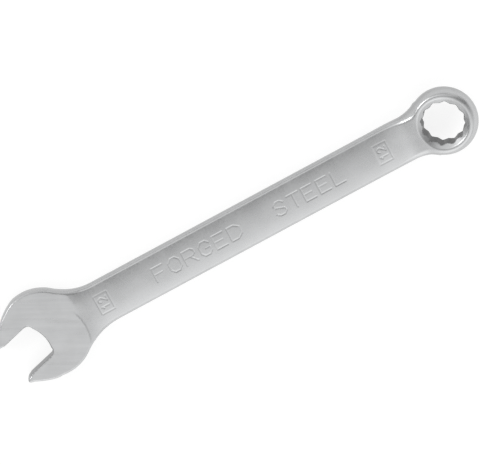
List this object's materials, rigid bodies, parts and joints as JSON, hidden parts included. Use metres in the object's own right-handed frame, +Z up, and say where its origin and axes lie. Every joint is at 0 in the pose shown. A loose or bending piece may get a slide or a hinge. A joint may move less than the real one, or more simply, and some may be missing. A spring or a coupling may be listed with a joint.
{
  "type": "combination wrench",
  "caption": "Flat combination wrench in satin chrome, with an angled open end, a straight crowned shank and a bent-up box end.",
  "frame": {"origin": "bottom centre of the wrench's bounding box, as it lies flat on the open head's underside and the box ring's near lower rim", "axes": "+X along the shank from the open end to the box end, +Z up, out of the upper face, so that the box end is bent towards +Z; the mouth opens towards -X and turns 15 degrees towards -Y"},
  "size_m": [0.1634, 0.0282, 0.0124],
  "materials": {
    "satin_chrome": "satin"
  },
  "bodies": {
    "root": {"wrench_forging": "satin_chrome"}
  },
  "joints": []
}
